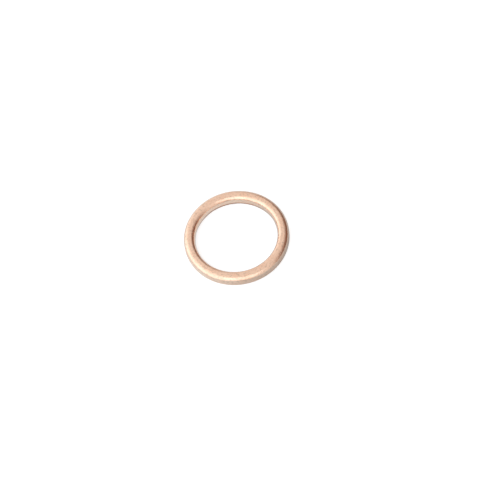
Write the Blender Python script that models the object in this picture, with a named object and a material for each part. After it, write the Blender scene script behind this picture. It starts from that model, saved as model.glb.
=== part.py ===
"""Copper crush washer for an M14 screw plug: one thin copper strip, folded into a hollow ring.

The strip's section starts at the cut edge of the foot, runs out along the flat underside, turns up
round the outer wall, passes over the domed crown, comes down the bore wall and is tucked in above
the foot. The two lips lap on the underside, where the seam shows as one circle near the bore, and
the ring crushes there when the plug is tightened.

Units are metres and +Z is up. The origin is on the ring's axis, level with its flat underside.
"""

import math

import bmesh
import bpy
from mathutils import Vector

MM = 0.001

# The ring: 14 mm bore, 18 mm across and about 2 mm high
BORE_DIAMETER = 14.0 * MM
BAND_WIDTH = 2.0 * MM
HEIGHT = 1.9 * MM

# The copper strip and the shape that it is pressed to
SHEET = 0.30 * MM
CROWN_LAND = 0.24 * MM  # width of the narrow flat on top, which meets the plug's flange first
CROWN_SHIFT = 0.06 * MM  # how far the crown lies from the middle of the band, towards the bore
STRAIGHT_WALL = 0.24 * MM  # upright stretch of the bore wall, between its bend and the dome
FOOT_BEND = 0.06 * MM  # inside radius where the outer wall turns under into the foot
LIP_BEND = 0.06 * MM  # inside radius where the bore wall turns in above the foot

# The lapped seam on the underside
LAP_GAP = 0.05 * MM  # between the foot and the lip that is tucked in above it
SEAM_SETBACK = 0.12 * MM  # from the bore to the foot's cut edge
LIP_REACH = 1.10 * MM  # from the bore to the tucked lip's cut edge

# How finely the round shapes are divided
RING_STEPS = 80
SHOULDER_STEPS = 6
BEND_STEPS = 4
EDGE_STEPS = 3

COPPER = (0.94, 0.64, 0.50, 1.0)
COPPER_ROUGHNESS = 0.26
SMOOTH_BELOW = math.radians(35.0)


def clear_scene():
    """Removes every object that the file opened with."""
    for old in list(bpy.data.objects):
        bpy.data.objects.remove(old, do_unlink=True)


def arc(centre, radii, start, end, steps):
    """Points and outward normals along an elliptical arc in the (radius, height) plane.

    A point lies at the centre plus the two radii times cosine and sine. The normal of an ellipse
    leans the other way, so there the cosine and sine are divided by the radii.
    """
    run = []
    for step in range(steps + 1):
        angle = math.radians(start + (end - start) * step / steps)
        direction = Vector((math.cos(angle), math.sin(angle)))
        point = Vector(centre) + Vector((radii[0] * direction.x, radii[1] * direction.y))
        normal = Vector((direction.x / radii[0], direction.y / radii[1])).normalized()
        run.append((point, normal))
    return run


def strip_face():
    """The strip's outside face as points and normals, from the foot's cut edge to the tucked one.

    Straight stretches need no points of their own: each lies between the ends of two bends.
    """
    bore = BORE_DIAMETER / 2
    outer = bore + BAND_WIDTH
    crown = bore + BAND_WIDTH / 2 - CROWN_SHIFT
    land_outer = crown + CROWN_LAND / 2
    land_inner = crown - CROWN_LAND / 2

    foot_bend = FOOT_BEND + SHEET
    lip_bend = LIP_BEND + SHEET
    lip_height = SHEET + LAP_GAP
    wall_top = lip_height + lip_bend + STRAIGHT_WALL
    dome = HEIGHT - wall_top
    edge = SHEET / 2
    down = Vector((0.0, -1.0))

    foot_edge = (Vector((bore + SEAM_SETBACK + edge, 0.0)), down)
    tucked_edge = (Vector((bore + LIP_REACH - edge, lip_height)), down)
    face = [foot_edge]
    face += arc((outer - foot_bend, foot_bend), (foot_bend, foot_bend), -90, 0, BEND_STEPS)
    face += arc((land_outer, wall_top), (outer - land_outer, dome), 0, 90, SHOULDER_STEPS)
    face += arc((land_inner, wall_top), (land_inner - bore, dome), 90, 180, SHOULDER_STEPS)
    face += arc((bore + lip_bend, lip_height + lip_bend), (lip_bend, lip_bend), 180, 270, BEND_STEPS)
    face += [tucked_edge]
    return face


def cut_edge(point, normal, outward):
    """The strip's rounded cut edge: half a circle from its outside face round to its inside face."""
    centre = point - normal * (SHEET / 2)
    around = []
    for step in range(1, EDGE_STEPS):
        angle = math.pi * step / EDGE_STEPS
        reach = normal * math.cos(angle) + outward * math.sin(angle)
        around.append(centre + reach * (SHEET / 2))
    return around


def folded_section():
    """The closed outline of the folded strip: out along one face, and back along the other."""
    face = strip_face()
    outside = [point for point, _ in face]
    inside = [point - normal * SHEET for point, normal in reversed(face)]
    tucked = cut_edge(*face[-1], outward=Vector((1.0, 0.0)))
    foot = cut_edge(*face[0], outward=Vector((-1.0, 0.0)))
    return outside + tucked + inside + list(reversed(foot))


def copper():
    """Bright annealed copper."""
    material = bpy.data.materials.new("copper")
    material.use_nodes = True
    shader = material.node_tree.nodes["Principled BSDF"]
    shader.inputs["Base Color"].default_value = COPPER
    shader.inputs["Metallic"].default_value = 1.0
    shader.inputs["Roughness"].default_value = COPPER_ROUGHNESS
    return material


def crush_washer():
    """Spins the folded section once round the ring's axis."""
    bm = bmesh.new()
    corners = [bm.verts.new((point.x, 0.0, point.y)) for point in folded_section()]
    outline = [bm.edges.new(pair) for pair in zip(corners, corners[1:] + corners[:1])]
    bmesh.ops.spin(
        bm,
        geom=corners + outline,
        cent=(0.0, 0.0, 0.0),
        axis=(0.0, 0.0, 1.0),
        angle=2 * math.pi,
        steps=RING_STEPS,
        use_merge=True,
    )
    bmesh.ops.recalc_face_normals(bm, faces=bm.faces)

    mesh = bpy.data.meshes.new("crush_washer")
    bm.to_mesh(mesh)
    bm.free()
    mesh.materials.append(copper())
    mesh.shade_smooth()
    mesh.set_sharp_from_angle(angle=SMOOTH_BELOW)

    washer = bpy.data.objects.new("crush_washer", mesh)
    bpy.context.scene.collection.objects.link(washer)
    return washer


clear_scene()
crush_washer()
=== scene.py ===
# %% [markdown]
# A copper crush washer
#
# The real object is a ring about as wide as a fingertip, folded from one strip of soft copper and
# squeezed under a drain plug to seal it. Its looks are almost all reflection, so this lesson makes
# three things with care: a smooth surface with the true section, a copper finish, and the pale
# surroundings that the copper mirrors. The solid model comes in first, and nothing of it is moved.

# %% Load the solid model as a fixed frame
import math

import bpy
import numpy as np
from mathutils import Matrix, Vector


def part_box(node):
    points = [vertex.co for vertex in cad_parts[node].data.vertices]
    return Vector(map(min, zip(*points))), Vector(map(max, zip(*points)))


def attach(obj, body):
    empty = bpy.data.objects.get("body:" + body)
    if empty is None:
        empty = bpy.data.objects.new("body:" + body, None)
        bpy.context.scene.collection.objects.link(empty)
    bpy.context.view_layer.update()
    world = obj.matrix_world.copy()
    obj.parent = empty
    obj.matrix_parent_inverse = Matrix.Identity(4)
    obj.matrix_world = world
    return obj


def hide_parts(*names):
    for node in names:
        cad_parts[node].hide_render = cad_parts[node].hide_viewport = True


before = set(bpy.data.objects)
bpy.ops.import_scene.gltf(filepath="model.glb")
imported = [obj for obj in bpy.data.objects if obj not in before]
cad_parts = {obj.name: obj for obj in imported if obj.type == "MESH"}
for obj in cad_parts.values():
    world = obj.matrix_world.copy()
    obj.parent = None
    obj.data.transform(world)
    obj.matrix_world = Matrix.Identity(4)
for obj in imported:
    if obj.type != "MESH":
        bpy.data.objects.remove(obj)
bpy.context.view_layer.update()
MM = 0.001

# %% [markdown]
# Sizes come first. The outside and the height are read from the solid, and the rest are the sizes
# that a toolmaker would put on the drawing of the fold. All of them are in metres.

# %% The sizes of the folded ring
ring_low, ring_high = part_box("crush_washer")
OUTER_RADIUS = (ring_high[0] - ring_low[0]) / 2
HEIGHT = ring_high[2] - ring_low[2]

BAND_WIDTH = 2.0 * MM
SHEET = 0.30 * MM
CROWN_LAND = 0.24 * MM
CROWN_SHIFT = 0.06 * MM
STRAIGHT_WALL = 0.24 * MM
FOOT_BEND = 0.06 * MM
LIP_BEND = 0.06 * MM
LAP_GAP = 0.05 * MM
SEAM_SETBACK = 0.12 * MM
LIP_REACH = 1.10 * MM

BORE_RADIUS = OUTER_RADIUS - BAND_WIDTH
CROWN_RADIUS = OUTER_RADIUS - BAND_WIDTH / 2 - CROWN_SHIFT
print("bore", round(2 * BORE_RADIUS / MM, 3), "mm, height", round(HEIGHT / MM, 3), "mm")

# %% [markdown]
# The strip's outside face is a path in the plane of radius and height: along the flat foot, up the
# outer wall, over the crown, down the bore and in above the foot. It could be drawn by hand as a
# curve, but lines and elliptical arcs are what the press tools have, and each keeps its size.

# %% Lines and arcs, with the way that each point faces


def line(start, end, facing, count):
    """Points evenly along a straight run that faces one way: the start plus a share of the way."""
    share = np.linspace(0.0, 1.0, count)[:, None]
    points = np.array(start) + share * (np.array(end) - np.array(start))
    return points, np.tile(np.array(facing, float), (count, 1))


def arc(centre, radii, start, end, count):
    """Points along an elliptical arc: the centre plus the radii times cosine and sine of the angle.

    The angle is in degrees, from 0 straight outwards to 90 straight up. The outward normal of an
    ellipse has the cosine and sine divided by the radii, made one long.
    """
    angle = np.radians(np.linspace(start, end, count))
    direction = np.stack([np.cos(angle), np.sin(angle)], axis=1)
    points = np.array(centre) + np.array(radii) * direction
    normals = direction / np.array(radii)
    return points, normals / np.linalg.norm(normals, axis=1, keepdims=True)


quarter, _ = arc((0, 0), (1, 1), 0, 90, 3)
print("a quarter circle in three points:", quarter.round(3).tolist())

# %% The outside face of the folded strip
FOOT_POINTS = 14
BEND_POINTS = 12
OUTER_WALL_POINTS = 8
SHOULDER_POINTS = 26
BORE_WALL_POINTS = 5
LIP_POINTS = 6
SAME_POINT = 0.001 * MM


def strip_face():
    """The outside face from the foot's cut edge to the tucked one, as points and normals."""
    foot_bend = FOOT_BEND + SHEET
    lip_bend = LIP_BEND + SHEET
    lip_height = SHEET + LAP_GAP
    wall_top = lip_height + lip_bend + STRAIGHT_WALL
    dome = HEIGHT - wall_top
    land_outside = CROWN_RADIUS + CROWN_LAND / 2
    land_inside = CROWN_RADIUS - CROWN_LAND / 2
    foot_start = BORE_RADIUS + SEAM_SETBACK + SHEET / 2
    tucked_end = BORE_RADIUS + LIP_REACH - SHEET / 2
    foot_centre = (OUTER_RADIUS - foot_bend, foot_bend)
    lip_centre = (BORE_RADIUS + lip_bend, lip_height + lip_bend)

    runs = [
        line((foot_start, 0), (OUTER_RADIUS - foot_bend, 0), (0, -1), FOOT_POINTS),
        arc(foot_centre, (foot_bend, foot_bend), -90, 0, BEND_POINTS),
        line((OUTER_RADIUS, foot_bend), (OUTER_RADIUS, wall_top), (1, 0), OUTER_WALL_POINTS),
        arc((land_outside, wall_top), (OUTER_RADIUS - land_outside, dome), 0, 90, SHOULDER_POINTS),
        arc((land_inside, wall_top), (land_inside - BORE_RADIUS, dome), 90, 180, SHOULDER_POINTS),
        line((BORE_RADIUS, wall_top), (BORE_RADIUS, lip_centre[1]), (-1, 0), BORE_WALL_POINTS),
        arc(lip_centre, (lip_bend, lip_bend), 180, 270, BEND_POINTS),
        line((lip_centre[0], lip_height), (tucked_end, lip_height), (0, -1), LIP_POINTS),
    ]
    points = np.concatenate([run[0] for run in runs])
    normals = np.concatenate([run[1] for run in runs])
    apart = np.linalg.norm(np.diff(points, axis=0), axis=1) > SAME_POINT
    keep = np.concatenate([[True], apart])
    return points[keep], normals[keep]


face_points, face_normals = strip_face()
print("outside face:", len(face_points), "points across the strip")

# %% [markdown]
# The strip has a thickness, so its section closes: the inside face is the outside one moved in by
# the sheet, and each cut edge is half a circle. A Solidify modifier could do this, but the section
# is the same all round, so it is closed here, once, and the ring needs no modifier.

# %% Close the section round both cut edges
EDGE_STEPS = 9
INSIDE_EVERY = 3


def cut_edge(point, normal, outward):
    """Half a circle from the outside face round to the inside one, without its two ends.

    Each point is the strip's middle plus half the sheet times the cosine of the angle along the
    normal and the sine along the way out.
    """
    angle = np.pi * np.arange(1, EDGE_STEPS) / EDGE_STEPS
    reach = np.cos(angle)[:, None] * normal + np.sin(angle)[:, None] * np.array(outward)
    return point - normal * SHEET / 2 + reach * SHEET / 2


def inside_rows(count):
    """Every third row of the inside face is enough, because it can't be seen; both ends are kept."""
    rows = np.arange(0, count, INSIDE_EVERY)
    return np.unique(np.append(rows, count - 1))[::-1]


rows = inside_rows(len(face_points))
tucked = cut_edge(face_points[-1], face_normals[-1], (1.0, 0.0))
foot = cut_edge(face_points[0], face_normals[0], (-1.0, 0.0))[::-1]
inside = face_points[rows] - SHEET * face_normals[rows]
section = np.concatenate([face_points, tucked, inside, foot])
print("closed section:", len(section), "points")

# %% [markdown]
# No pressed ring is perfect. It is a little out of round, its crown sways by a hundredth of a
# millimetre or so, the foot's cut edge wanders, and rings that are poured into a box leave shallow
# dents on each other. These could be painted on as bumps, but they bend the reflections, so they
# are moved into the mesh itself, and never past the drawing, so the washer keeps its size.

# %% How far the real ring strays from the drawing
OUT_OF_ROUND = 0.020 * MM
CROWN_SWAY = 0.014 * MM
SEAM_WANDER = 0.025 * MM
SEAM_REACH = 0.25 * MM
RING_STEPS = 560

# Each wave is how many times it goes round the ring, its share and its phase in radians
ROUND_WAVES = [(2, 1.0, 0.7), (3, 0.6, 2.1), (7, 0.25, 4.0)]
SWAY_WAVES = [(3, 1.0, 1.3), (5, 0.5, 0.2), (11, 0.35, 5.1)]
WANDER_WAVES = [(9, 1.0, 0.4), (17, 0.7, 3.3), (31, 0.5, 1.9)]

turn = 2 * np.pi * np.arange(RING_STEPS) / RING_STEPS


def waves(angle, parts):
    """A smooth run within 0 and 1: a half, plus half the mean of the cosines, each by its share."""
    total = sum(share * np.cos(count * angle + phase) for count, share, phase in parts)
    return 0.5 + 0.5 * total / sum(share for _, share, _ in parts)


roundness = waves(turn, ROUND_WAVES)
sway = waves(turn, SWAY_WAVES)
wander = waves(turn, WANDER_WAVES)
print("ring:", RING_STEPS, "steps round, crown sways", round(CROWN_SWAY * np.ptp(sway) / MM, 4), "mm")

# %% The section carried round the ring


def spun(section, angle):
    """Every point of the section at every angle: radius times cosine, radius times sine, height.

    The radius shrinks by the out-of-round share. The height shrinks by the sway times the square
    of the share of the height. Near the foot's cut edge, within a bell curve, the radius grows by
    the wander.
    """
    radius = section[None, :, 0] - OUT_OF_ROUND * roundness[:, None]
    rise = np.clip(section[None, :, 1] / HEIGHT, 0, 1)
    height = section[None, :, 1] - CROWN_SWAY * sway[:, None] * rise**2
    near_edge = np.exp(-(((section[:, 0] - BORE_RADIUS - SEAM_SETBACK) / SEAM_REACH) ** 2))
    low = section[:, 1] < SHEET + LAP_GAP / 2
    radius = radius + SEAM_WANDER * wander[:, None] * (near_edge * low)[None, :]
    return np.stack([radius * np.cos(angle)[:, None], radius * np.sin(angle)[:, None], height], axis=-1)


drawn_points = spun(section, turn)
print("grid:", drawn_points.shape[:2], "points")

# %% Shallow dents from other rings
DENTS = 26
DENT_SEED = 14
DENT_DEPTH = 0.016 * MM
DENT_DEPTH_SHARES = (0.3, 1.0)
DENT_WIDTHS_IN_MM = (0.12, 0.32)
DENTED_ABOVE = 0.55 * HEIGHT


def dented(points, face_count):
    """Presses shallow round dents into the outside face, each a bell curve of depth round its centre.

    The dents lie on the crown and shoulders, where rings knock together, and each pushes the
    surface towards the middle of the section.
    """
    chance = np.random.default_rng(DENT_SEED)
    across, along = CROWN_RADIUS * np.cos(turn), CROWN_RADIUS * np.sin(turn)
    middle = np.stack([across, along, np.full(RING_STEPS, HEIGHT / 2)], axis=-1)
    crown_rows = np.flatnonzero(section[:face_count, 1] > DENTED_ABOVE)
    for _ in range(DENTS):
        where = chance.integers(RING_STEPS), chance.choice(crown_rows)
        depth = DENT_DEPTH * chance.uniform(*DENT_DEPTH_SHARES)
        width = MM * chance.uniform(*DENT_WIDTHS_IN_MM)
        away = np.linalg.norm(points[:, :face_count] - points[where], axis=-1)
        inward = middle[:, None] - points[:, :face_count]
        inward = inward / np.linalg.norm(inward, axis=-1, keepdims=True)
        points[:, :face_count] += inward * (depth * np.exp(-((away / width) ** 2)))[..., None]
    return points


ring_points = dented(drawn_points.copy(), len(face_points))
deepest = np.linalg.norm(ring_points - drawn_points, axis=-1).max()
print("dents:", DENTS, "deepest", round(deepest / MM, 4), "mm")

# %% [markdown]
# The grid wraps both ways, round the ring and round the section, so the mesh closes with no seam
# and no pole. Its faces join each point to the next one along and the next one round. One value
# goes with each point. It is 1 in the hollow, on the cut edges and in the lap, and there the finish
# makes the copper darker brown.

# %% The washer's mesh
FACE_CORNERS = 4


def darker_in_fold_rows():
    """1 in the hollow and in the lap, and 0 on the outside, for each row of the section."""
    value = np.ones(len(section))
    value[: len(face_points)] = 0.0
    in_the_lap = np.isclose(face_points[:, 1], SHEET + LAP_GAP)
    value[: len(face_points)][in_the_lap] = 1.0
    return value


def grid_mesh(name, points):
    """A closed mesh of four-sided faces over a grid that wraps both ways."""
    around, across = points.shape[:2]
    index = np.arange(around * across).reshape(around, across)
    after = np.roll(index, -1, axis=0)
    corners = np.stack([index, after, np.roll(after, -1, axis=1), np.roll(index, -1, axis=1)], axis=-1)
    corners = corners.reshape(-1, FACE_CORNERS)
    mesh = bpy.data.meshes.new(name)
    mesh.vertices.add(around * across)
    mesh.vertices.foreach_set("co", points.reshape(-1).astype(np.float32))
    mesh.loops.add(corners.size)
    mesh.loops.foreach_set("vertex_index", corners.reshape(-1).astype(np.int32))
    mesh.polygons.add(len(corners))
    starts = np.arange(0, corners.size, FACE_CORNERS, dtype=np.int32)
    mesh.polygons.foreach_set("loop_start", starts)
    mesh.update(calc_edges=True)
    mesh.validate()
    mesh.shade_smooth()
    return mesh


washer_mesh = grid_mesh("folded_copper_ring", ring_points)
# One value for each point: 1 in the hollow, on the cut edges and in the lap, where the finish is darker
# brown
darker_in_fold = washer_mesh.attributes.new("darker_in_fold", "FLOAT", "POINT")
darker_in_fold.data.foreach_set("value", np.tile(darker_in_fold_rows(), RING_STEPS).astype(np.float32))
washer = bpy.data.objects.new("folded_copper_ring", washer_mesh)
bpy.context.scene.collection.objects.link(washer)
print("washer:", 2 * len(washer_mesh.polygons), "triangles")

# %% [markdown]
# Copper strip is rolled and then drawn through tools, which leaves fine lines that run round the
# ring. Bulk handling adds short scratches across them. Both are height patterns for a Bump node.
# Each could be painted as a picture, but noise in the washer's own coordinates needs no seams.

# %% Small helpers for wiring nodes


def add(tree, kind, **settings):
    """A new node of a kind, with its properties set."""
    node = tree.nodes.new(kind)
    for key, value in settings.items():
        setattr(node, key, value)
    return node


def plug(tree, source, socket):
    """Joins a socket to another, or sets it to a plain value."""
    if isinstance(source, bpy.types.NodeSocket):
        tree.links.new(source, socket)
    else:
        socket.default_value = source


def reckon(tree, operation, *values):
    """A Math node on one, two or three values."""
    node = add(tree, "ShaderNodeMath", operation=operation)
    for value, socket in zip(values, node.inputs):
        plug(tree, value, socket)
    return node.outputs[0]


def ramp(tree, value, low, high, to_low=0.0, to_high=1.0):
    """Carries a value from one range to another along a smooth step."""
    node = add(tree, "ShaderNodeMapRange", interpolation_type="SMOOTHSTEP")
    for source, socket in zip((value, low, high, to_low, to_high), node.inputs):
        plug(tree, source, socket)
    return node.outputs[0]


def blend_of(tree, factor, first, second):
    """A Mix node from one colour to another."""
    node = add(tree, "ShaderNodeMix", data_type="RGBA")
    plug(tree, factor, node.inputs["Factor"])
    plug(tree, first, node.inputs["A"])
    plug(tree, second, node.inputs["B"])
    return node.outputs["Result"]


def noise(tree, place, scale, detail, depth=None):
    """A Noise Texture's value; a depth makes it four-dimensional."""
    node = add(tree, "ShaderNodeTexNoise", noise_dimensions="3D" if depth is None else "4D")
    plug(tree, place, node.inputs["Vector"])
    plug(tree, scale, node.inputs["Scale"])
    plug(tree, detail, node.inputs["Detail"])
    if depth is not None:
        plug(tree, depth, node.inputs["W"])
    return node.outputs["Fac"]


def new_group(name, inputs, outputs):
    """An empty shader group with named sockets, and its two end nodes."""
    tree = bpy.data.node_groups.new(name, "ShaderNodeTree")
    for label, kind in inputs:
        tree.interface.new_socket(name=label, in_out="INPUT", socket_type=kind)
    for label, kind in outputs:
        tree.interface.new_socket(name=label, in_out="OUTPUT", socket_type=kind)
    return tree, add(tree, "NodeGroupInput").outputs, add(tree, "NodeGroupOutput").inputs


print("node helpers ready")

# %% Drawn lines that run round the ring
LINE_DETAIL = 3.0


def drawn_lines():
    """Fine lines round the axis: noise in four dimensions, slow in x and y, fast in radius and height."""
    tree, given, result = new_group(
        "drawn_lines",
        [("Place", "NodeSocketVector"), ("Across", "NodeSocketFloat"), ("Along", "NodeSocketFloat")],
        [("Height", "NodeSocketFloat")],
    )
    parts = add(tree, "ShaderNodeSeparateXYZ")
    plug(tree, given["Place"], parts.inputs[0])
    x, y, z = parts.outputs
    square = reckon(tree, "ADD", reckon(tree, "MULTIPLY", x, x), reckon(tree, "MULTIPLY", y, y))
    radius = reckon(tree, "SQRT", square)
    slow = add(tree, "ShaderNodeCombineXYZ")
    plug(tree, reckon(tree, "MULTIPLY", x, given["Along"]), slow.inputs[0])
    plug(tree, reckon(tree, "MULTIPLY", y, given["Along"]), slow.inputs[1])
    plug(tree, reckon(tree, "MULTIPLY", radius, given["Across"]), slow.inputs[2])
    depth = reckon(tree, "MULTIPLY", z, given["Across"])
    height = noise(tree, slow.outputs[0], scale=1.0, detail=LINE_DETAIL, depth=depth)
    plug(tree, height, result["Height"])
    return tree


drawn_lines_group = drawn_lines()
print("group:", drawn_lines_group.name)

# %% Short scratches from handling
# Each set of scratches has its turn in radians, and the scale of its noise along the scratches
SCRATCH_SETS = ((0.5, 0.07), (2.0, 0.05))
SCRATCH_TILT = (0.3, 0.2)
SCRATCH_SQUASH = 0.6
SCRATCH_DETAIL = 1.0
NOISE_MIDDLE = 0.5
PATCH_SCALE_SHARE = 0.7
PATCH_EDGES = (0.55, 0.68)


def handling_scratches():
    """Thin lines where a stretched noise passes its middle value, kept only in patches."""
    tree, given, result = new_group(
        "handling_scratches",
        [("Place", "NodeSocketVector"), ("Scale", "NodeSocketFloat"), ("Width", "NodeSocketFloat")],
        [("Mask", "NodeSocketFloat")],
    )
    masks = []
    for turned, stretch in SCRATCH_SETS:
        mapping = add(tree, "ShaderNodeMapping")
        plug(tree, given["Place"], mapping.inputs["Vector"])
        tilt = (SCRATCH_TILT[0] * turned, SCRATCH_TILT[1], turned)
        mapping.inputs["Rotation"].default_value = tilt
        mapping.inputs["Scale"].default_value = (1.0, stretch, SCRATCH_SQUASH)
        value = noise(tree, mapping.outputs[0], given["Scale"], SCRATCH_DETAIL)
        off_middle = reckon(tree, "ABSOLUTE", reckon(tree, "SUBTRACT", value, NOISE_MIDDLE))
        thin = ramp(tree, off_middle, 0.0, given["Width"], 1.0, 0.0)
        coarser = reckon(tree, "MULTIPLY", given["Scale"], PATCH_SCALE_SHARE)
        patch = noise(tree, mapping.outputs[0], coarser, SCRATCH_DETAIL)
        masks.append(reckon(tree, "MULTIPLY", thin, ramp(tree, patch, *PATCH_EDGES)))
    plug(tree, reckon(tree, "MAXIMUM", *masks), result["Mask"])
    return tree


scratches_group = handling_scratches()
print("group:", scratches_group.name)

# %% [markdown]
# Bright annealed copper is a pink metal with a satin shine. Its colour varies a little from place
# to place, where the air has started to work on it, small dull specks break up the shine, and it is
# browner in the folds. Annealing lets its grain grow, and the press brings that up as a faint orange
# peel, which joins the drawn lines and the scratches in one Bump node. The colour of a metal is the
# colour of its reflection, so Base Color carries all of it and Metallic is 1.

# %% The copper finish
COPPER = (0.955, 0.655, 0.490, 1.0)
COPPER_WARM = (0.945, 0.605, 0.435, 1.0)
COPPER_DULL = (0.700, 0.480, 0.355, 1.0)
COPPER_FOLD = (0.420, 0.210, 0.130, 1.0)
PATCHES_PER_MM = 0.55
PATCH_DETAIL = 3.0
WARM_EDGES = (0.35, 0.70)
SPECKS_PER_MM = 3.0
SPECK_DETAIL = 3.0
SPECK_EDGES = (0.45, 0.80)
SATIN_PER_MM = 1.7
SATIN_DETAIL = 4.0
SATIN_EDGES = (0.3, 0.7)
SATIN = (0.09, 0.18)
SCRATCH_SATIN = 0.15
LINES_PER_MM = 14.0
LINES_ALONG = 0.22
LINES_SHARE = 3.0
GRAIN_PER_MM = 4.0
GRAIN_DETAIL = 2.0
GRAIN_SHARE = 14.0
SCRATCHES_PER_MM = 3.2
SCRATCH_WIDTH = 0.014
SCRATCH_DEPTH = 1.0
MARK_DEPTH = 0.004 * MM
MARK_STRENGTH = 0.5


def copper_finish():
    """Copper with drawn lines, grain, scratches and slight tarnish, patterned in millimetres."""
    material = bpy.data.materials.new("bright_copper")
    material.use_nodes = True
    tree = material.node_tree
    shader = tree.nodes["Principled BSDF"]
    shader.inputs["Metallic"].default_value = 1.0

    in_mm = add(tree, "ShaderNodeVectorMath", operation="SCALE")
    plug(tree, add(tree, "ShaderNodeTexCoord").outputs["Object"], in_mm.inputs[0])
    in_mm.inputs["Scale"].default_value = 1 / MM
    place = in_mm.outputs[0]

    lines = add(tree, "ShaderNodeGroup", node_tree=drawn_lines_group)
    plug(tree, place, lines.inputs["Place"])
    lines.inputs["Across"].default_value = LINES_PER_MM
    lines.inputs["Along"].default_value = LINES_ALONG
    scratches = add(tree, "ShaderNodeGroup", node_tree=scratches_group)
    plug(tree, place, scratches.inputs["Place"])
    scratches.inputs["Scale"].default_value = SCRATCHES_PER_MM
    scratches.inputs["Width"].default_value = SCRATCH_WIDTH

    patches = ramp(tree, noise(tree, place, PATCHES_PER_MM, PATCH_DETAIL), *WARM_EDGES)
    # The copper turns darker brown in the hollow, on the cut edges and in the lap
    darker_in_fold_share = add(tree, "ShaderNodeAttribute", attribute_name="darker_in_fold").outputs["Fac"]
    specks = ramp(tree, noise(tree, place, SPECKS_PER_MM, SPECK_DETAIL), *SPECK_EDGES)
    bare = blend_of(tree, specks, blend_of(tree, patches, COPPER, COPPER_WARM), COPPER_DULL)
    plug(tree, blend_of(tree, darker_in_fold_share, bare, COPPER_FOLD), shader.inputs["Base Color"])

    cuts = scratches.outputs["Mask"]
    satin = ramp(tree, noise(tree, place, SATIN_PER_MM, SATIN_DETAIL), *SATIN_EDGES, *SATIN)
    rough = reckon(tree, "MULTIPLY_ADD", cuts, SCRATCH_SATIN, satin)
    plug(tree, rough, shader.inputs["Roughness"])

    peel = noise(tree, place, GRAIN_PER_MM, GRAIN_DETAIL)
    grain = reckon(tree, "MULTIPLY", peel, GRAIN_SHARE)
    drawn = reckon(tree, "MULTIPLY_ADD", lines.outputs["Height"], LINES_SHARE, grain)
    bump = add(tree, "ShaderNodeBump")
    bump.inputs["Strength"].default_value = MARK_STRENGTH
    bump.inputs["Distance"].default_value = MARK_DEPTH
    plug(tree, reckon(tree, "MULTIPLY_ADD", cuts, -SCRATCH_DEPTH, drawn), bump.inputs["Height"])
    plug(tree, bump.outputs["Normal"], shader.inputs["Normal"])
    return material


washer.data.materials.append(copper_finish())
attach(washer, "root")
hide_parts("crush_washer")
print("finish:", washer.data.materials[0].name)

# %% [markdown]
# The washer lies on a pale sheet. A real sheet scatters light, and the photograph shows it almost
# white, with only a trace of shadow. A plain diffuse floor would need too much light on the copper
# to be that white, so it glows for rays from the camera. Rays from the metal find a weaker and
# cooler glow that fades to the front right, because the photograph's ring mirrors a sheet that is
# bright beside its left wall and dim beside its right one.

# %% The pale floor
FLOOR_HALF = 0.6
FLOOR_DROP = 0.01 * MM
FLOOR_COLOUR = (0.55, 0.55, 0.55, 1.0)
SEEN_GLOW = (0.66, 0.66, 0.66, 1.0)
BRIGHT_GLOW = (0.30, 0.42, 0.50, 1.0)
FADED_GLOW = (0.02, 0.08, 0.12, 1.0)
FADE_ALONG = (0.87, -0.50, 0.0)
FADE_FROM = -7.0 * MM
FADE_TO = 12.0 * MM


def floor_glow(tree, shader):
    """Even for rays from the camera; fading to the front right for rays from metal or glass."""
    path = add(tree, "ShaderNodeLightPath").outputs
    mirrored = reckon(tree, "MAXIMUM", path["Is Glossy Ray"], path["Is Transmission Ray"])
    along = add(tree, "ShaderNodeVectorMath", operation="DOT_PRODUCT")
    plug(tree, add(tree, "ShaderNodeTexCoord").outputs["Object"], along.inputs[0])
    along.inputs[1].default_value = FADE_ALONG
    share = ramp(tree, along.outputs["Value"], FADE_FROM, FADE_TO)
    faded = blend_of(tree, share, BRIGHT_GLOW, FADED_GLOW)
    glow = blend_of(tree, path["Is Camera Ray"], faded, SEEN_GLOW)
    plug(tree, glow, shader.inputs["Emission Color"])
    strength = reckon(tree, "MAXIMUM", path["Is Camera Ray"], mirrored)
    plug(tree, strength, shader.inputs["Emission Strength"])


def pale_floor():
    """One square under the washer, which scatters light and glows for some rays."""
    corners = FLOOR_HALF * np.array([(-1, -1, 0), (1, -1, 0), (1, 1, 0), (-1, 1, 0)])
    corners[:, 2] = -FLOOR_DROP
    mesh = bpy.data.meshes.new("floor")
    mesh.from_pydata(corners.tolist(), [], [(0, 1, 2, 3)])
    floor = bpy.data.objects.new("floor", mesh)
    bpy.context.scene.collection.objects.link(floor)
    material = bpy.data.materials.new("pale_sheet")
    material.use_nodes = True
    tree = material.node_tree
    shader = tree.nodes["Principled BSDF"]
    shader.inputs["Base Color"].default_value = FLOOR_COLOUR
    shader.inputs["Roughness"].default_value = 1.0
    shader.inputs["Specular IOR Level"].default_value = 0.0
    floor_glow(tree, shader)
    mesh.materials.append(material)
    return floor


floor = pale_floor()
print("floor:", 2 * FLOOR_HALF, "m square")

# %% [markdown]
# Polished copper shows its surroundings, so they are half of the picture. In the photograph the
# light comes softly from the left, low down, and the far right is dark: the ring is pale where it
# mirrors the left, and brown along the edges that mirror the right. The sky is a smooth function of
# direction with one bright, slightly cool side and one dark brown one. A second soft light, half
# way up in front, gives the highlights on the near and the far side. A brighter patch of sky could
# do that too, but an area lamp has a size and a place that are easy to change.

# %% The sky that the copper mirrors
SKY_LEVEL = 0.865
BRIGHT_SIDE = (-174.0, 0.0)
BRIGHT_EDGES = (-0.05, 1.0)
BRIGHT_GAIN = (0.64, 0.74, 0.81)
DARK_SIDE = (24.0, 0.0)
DARK_EDGES = (0.28, 1.0)
DARK_COLOUR = (0.22, 0.12, 0.09, 1.0)
SEEN_WHITE = (1.0, 1.0, 1.0, 1.0)


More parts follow.
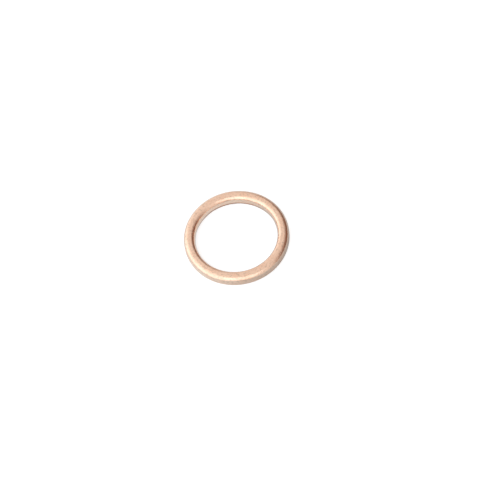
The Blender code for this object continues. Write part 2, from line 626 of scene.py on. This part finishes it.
def direction(azimuth, elevation):
    """A unit vector: azimuth in degrees from +X towards +Y, and elevation above the floor."""
    around = math.radians(azimuth)
    above = math.radians(elevation)
    flat = math.cos(above)
    return Vector((math.cos(around) * flat, math.sin(around) * flat, math.sin(above)))


def towards(tree, place, aim):
    """How nearly a direction points along the aim: their dot product."""
    node = add(tree, "ShaderNodeVectorMath", operation="DOT_PRODUCT")
    plug(tree, place, node.inputs[0])
    node.inputs[1].default_value = aim
    return node.outputs["Value"]


def studio_sky():
    """Pale all round, brighter to the left, brown at the right, and plain white to the camera."""
    world = bpy.data.worlds.new("studio")
    world.use_nodes = True
    bpy.context.scene.world = world
    tree = world.node_tree
    background = tree.nodes["Background"]
    background.inputs["Strength"].default_value = 1.0
    place = add(tree, "ShaderNodeTexCoord").outputs["Generated"]
    bright = ramp(tree, towards(tree, place, direction(*BRIGHT_SIDE)), *BRIGHT_EDGES)
    dark = ramp(tree, towards(tree, place, direction(*DARK_SIDE)), *DARK_EDGES)
    level = add(tree, "ShaderNodeCombineColor")
    for gain, socket in zip(BRIGHT_GAIN, level.inputs):
        plug(tree, reckon(tree, "MULTIPLY_ADD", bright, gain, SKY_LEVEL), socket)
    mirrored = blend_of(tree, dark, level.outputs[0], DARK_COLOUR)
    camera = add(tree, "ShaderNodeLightPath").outputs["Is Camera Ray"]
    plug(tree, blend_of(tree, camera, mirrored, SEEN_WHITE), background.inputs["Color"])
    return world


studio_sky()
print("sky: level", SKY_LEVEL, "brightest", SKY_LEVEL + max(BRIGHT_GAIN))

# %% The soft lamp in front
LAMP_AIM = (-95.0, 44.0)
LAMP_DISTANCE = 0.30
LAMP_SIZE = (0.30, 0.27)
LAMP_RADIANCE = 0.54
LAMP_COLOUR = (0.84, 0.94, 1.00)


def soft_lamp():
    """A large rectangle of light that faces the washer; its power is radiance times area times pi."""
    data = bpy.data.lights.new("soft_lamp", "AREA")
    data.shape = "RECTANGLE"
    data.size = LAMP_SIZE[0]
    data.size_y = LAMP_SIZE[1]
    data.color = LAMP_COLOUR
    data.energy = LAMP_RADIANCE * math.pi * LAMP_SIZE[0] * LAMP_SIZE[1]
    lamp = bpy.data.objects.new("soft_lamp", data)
    back = direction(*LAMP_AIM)
    lamp.location = LAMP_DISTANCE * back
    lamp.rotation_mode = "QUATERNION"
    lamp.rotation_quaternion = (-back).to_track_quat("-Z", "Y")
    lamp.visible_camera = False
    bpy.context.scene.collection.objects.link(lamp)
    return lamp


lamp = soft_lamp()
print("lamp:", round(lamp.data.energy, 4), "W")

# %% [markdown]
# The photograph was taken from well above, with a long lens and slightly rolled. A long lens keeps
# the near and far sides of the ring the same size, as the photograph does. The camera is placed so
# that the centre of the ring's foot falls on its own pixel, with no shift.

# %% The camera
ELEVATION = math.radians(59.0)
ROLL = math.radians(10.8)
PIXELS_PER_MM = 5.89
PHOTO_SIZE = (481, 484)
FOOT_CENTRE_PIXEL = (237.0, 239.7)
LENS = 200.0
SENSOR = 36.0
CLIP = (0.01, 10.0)


def photo_camera():
    """A camera whose right and up lean by the roll, at the distance that gives the photo's scale."""
    back = Vector((0, -math.cos(ELEVATION), math.sin(ELEVATION)))
    level_up = Vector((0, math.sin(ELEVATION), math.cos(ELEVATION)))
    level_right = Vector((1, 0, 0))
    right = math.cos(ROLL) * level_right - math.sin(ROLL) * level_up
    up = math.sin(ROLL) * level_right + math.cos(ROLL) * level_up
    off_right = (FOOT_CENTRE_PIXEL[0] - PHOTO_SIZE[0] / 2) / PIXELS_PER_MM * MM
    off_up = (PHOTO_SIZE[1] / 2 - FOOT_CENTRE_PIXEL[1]) / PIXELS_PER_MM * MM
    distance = LENS / SENSOR * max(PHOTO_SIZE) / PIXELS_PER_MM * MM
    place = back * distance - right * off_right - up * off_up

    data = bpy.data.cameras.new("photo_camera")
    data.lens = LENS
    data.sensor_width = SENSOR
    data.clip_start, data.clip_end = CLIP
    camera = bpy.data.objects.new("photo_camera", data)
    turned = Matrix((right, up, back)).transposed().to_4x4()
    camera.matrix_world = Matrix.Translation(place) @ turned
    bpy.context.scene.collection.objects.link(camera)
    bpy.context.scene.camera = camera
    return camera


camera = photo_camera()
print("camera:", round(camera.location.length, 3), "m away")

# %% [markdown]
# Last come the plain view settings.

# %% Finish
bpy.context.scene.view_settings.view_transform = "Standard"
